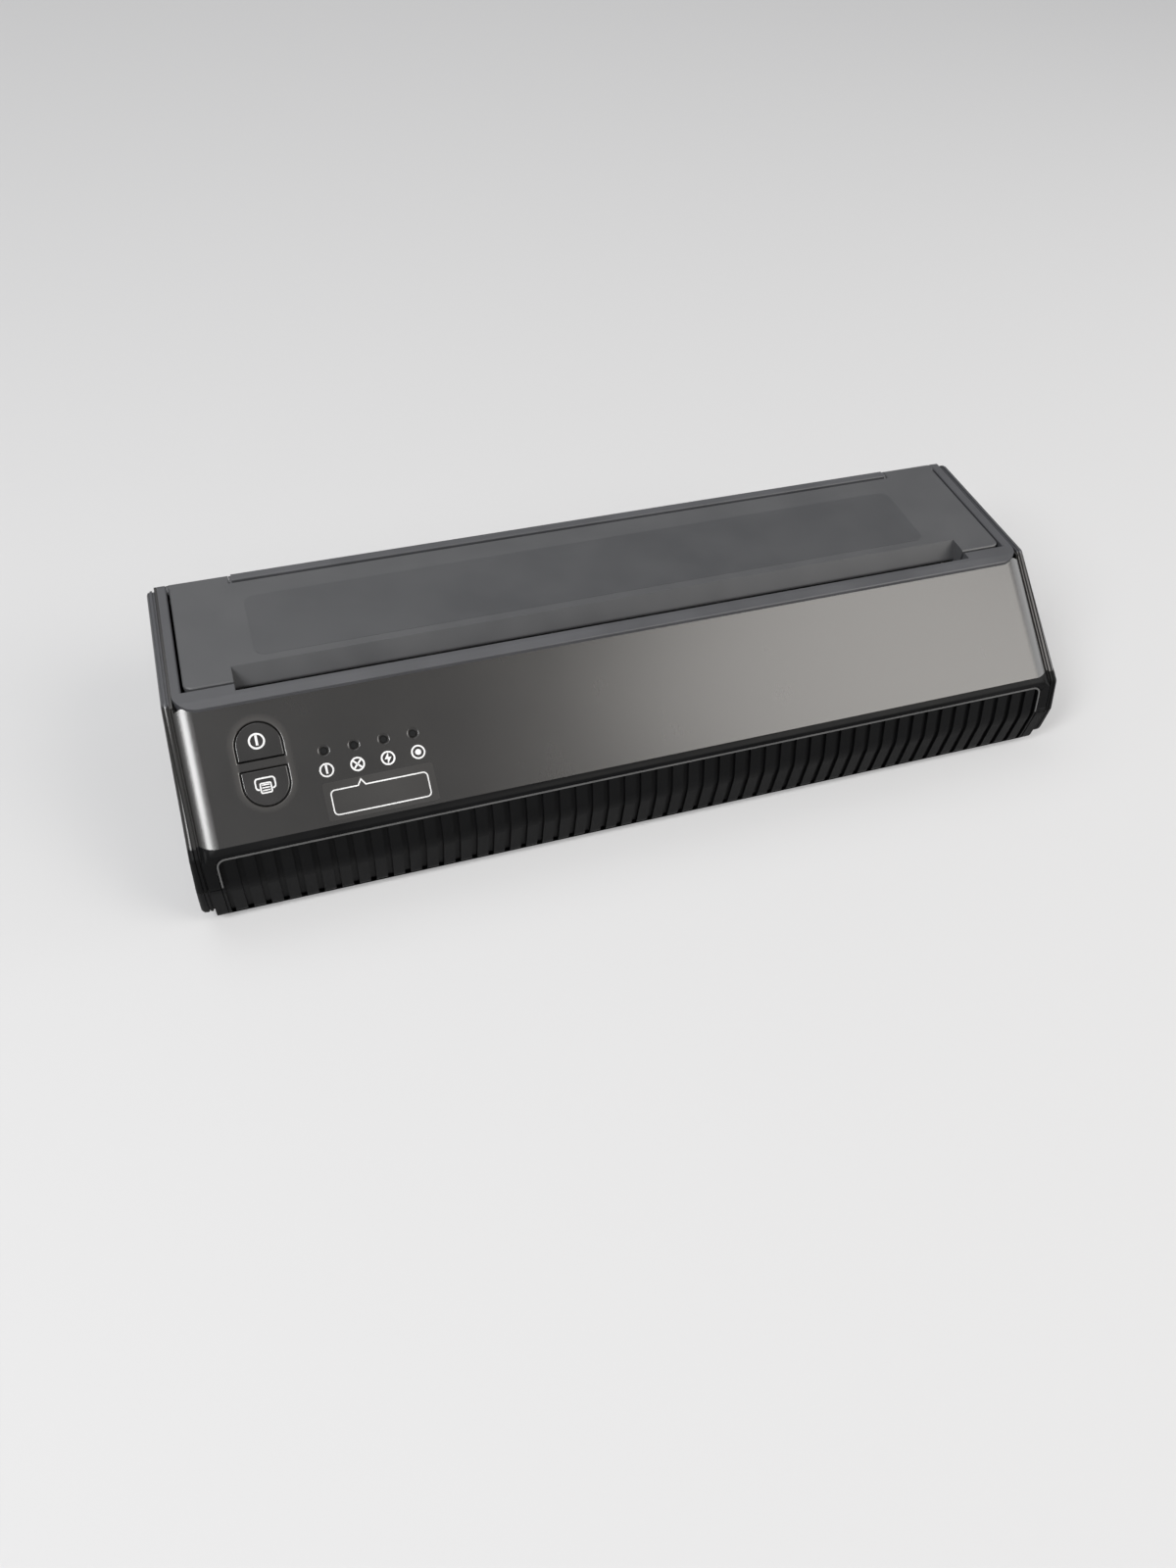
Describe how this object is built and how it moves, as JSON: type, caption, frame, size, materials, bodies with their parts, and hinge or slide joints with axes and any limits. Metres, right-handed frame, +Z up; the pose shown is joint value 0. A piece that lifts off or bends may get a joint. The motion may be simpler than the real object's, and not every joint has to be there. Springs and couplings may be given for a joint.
{
  "type": "thermal stencil copier",
  "caption": "Bar-shaped desktop thermal copier for A4 stencil paper, with a hinged top cover over a platen roller, a slanted front key panel and a ribbed front strip.",
  "frame": {"origin": "on the table, under the middle of the housing's plan outline", "axes": "+X along the bar to the right as seen from the front, +Y from front to rear, +Z up"},
  "size_m": [0.2582, 0.0853, 0.051],
  "materials": {
    "shell_black": "satin black",
    "panel_gloss": "high gloss dark grey",
    "frame_grey": "fine matt texture",
    "lid_grey": "fine matt texture",
    "steel": "bright",
    "clear": "clear plastic",
    "roller_rubber": "ground",
    "white_plastic": "natural acetal",
    "motor_can": "plated",
    "brass": "machined",
    "alloy": "extruded",
    "ceramic": "glazed",
    "cell_wrap": "shrink wrap",
    "board_green": "solder mask",
    "chip_black": "moulded",
    "ribbon_white": "flat cable",
    "foot_rubber": "moulded"
  },
  "bodies": {
    "housing": {"base_pan": "shell_black", "upper_shell": "panel_gloss", "deck_frame": "frame_grey", "rib_strip": "shell_black", "end_cover_left": "panel_gloss", "end_cover_right": "panel_gloss", "rear_guide": "frame_grey", "front_guide": "shell_black", "hinge_pin_left": "steel", "hinge_pin_right": "steel", "light_pipe": "clear", "side_frame_left": "steel", "side_frame_right": "steel", "chassis_floor": "steel", "frame_screws": "steel", "base_screws": "steel", "gear_post": "steel", "gear_clip": "steel", "motor": "motor_can", "motor_screws": "steel", "head_pivot": "steel", "head_springs": "steel", "battery_tray": "shell_black", "battery_cells": "cell_wrap", "main_board": "board_green", "board_chips": "chip_black", "button_board": "board_green", "key_switches": "chip_black", "panel_lamps": "white_plastic", "port_board": "board_green", "usb_socket": "steel", "head_ribbon": "ribbon_white", "panel_ribbon": "ribbon_white", "foot_front_left": "foot_rubber", "foot_rear_left": "foot_rubber", "foot_front_right": "foot_rubber", "foot_rear_right": "foot_rubber"},
    "lid": {"lid": "lid_grey", "platen_bush_left": "white_plastic", "platen_bush_right": "white_plastic"},
    "platen": {"platen_shaft": "steel", "platen_rubber": "roller_rubber", "platen_gear": "white_plastic"},
    "compound_gear": {"compound_gear": "white_plastic"},
    "motor_rotor": {"motor_shaft": "steel", "motor_pinion": "brass"},
    "print_head": {"heat_sink": "alloy", "ceramic_plate": "ceramic", "driver_cover": "shell_black"},
    "power_button": {"power_button": "panel_gloss"},
    "feed_button": {"feed_button": "panel_gloss"}
  },
  "joints": [
    {"name": "lid_hinge", "type": "hinge", "parent": "housing", "child": "lid", "pos_m": [0, 0.04055, 0.0488], "axis": [-1, 0, 0], "range_deg": [0, 100]},
    {"name": "platen_turn", "type": "hinge", "parent": "lid", "child": "platen", "pos_m": [0, 0.008, 0.04], "axis": [1, 0, 0], "continuous": true},
    {"name": "compound_gear_turn", "type": "hinge", "parent": "housing", "child": "compound_gear", "pos_m": [0.1187, 0.01238, 0.02797], "axis": [1, 0, 0], "continuous": true},
    {"name": "motor_turn", "type": "hinge", "parent": "housing", "child": "motor_rotor", "pos_m": [0.1187, 0.02523, 0.0148], "axis": [1, 0, 0], "continuous": true},
    {"name": "head_tilt", "type": "hinge", "parent": "housing", "child": "print_head", "pos_m": [0, 0.0245, 0.0292], "axis": [1, 0, 0], "range_deg": [0, 4], "stiffness_Nm_per_rad": 3, "springref_deg": -5.73, "deforming": ["head_springs", "head_ribbon"]},
    {"name": "power_press", "type": "slide", "parent": "housing", "child": "power_button", "axis": [0, 0.6123, -0.7906], "range_m": [0, 0.0006], "stiffness_N_per_m": 1500, "springref_m": -0.0003},
    {"name": "feed_press", "type": "slide", "parent": "housing", "child": "feed_button", "axis": [0, 0.6123, -0.7906], "range_m": [0, 0.0006], "stiffness_N_per_m": 1500, "springref_m": -0.0003}
  ],
  "couplings": [
    {"joint": "compound_gear_turn", "follows": "platen_turn", "ratio": -1.2857},
    {"joint": "motor_turn", "follows": "platen_turn", "ratio": 3.6429}
  ]
}
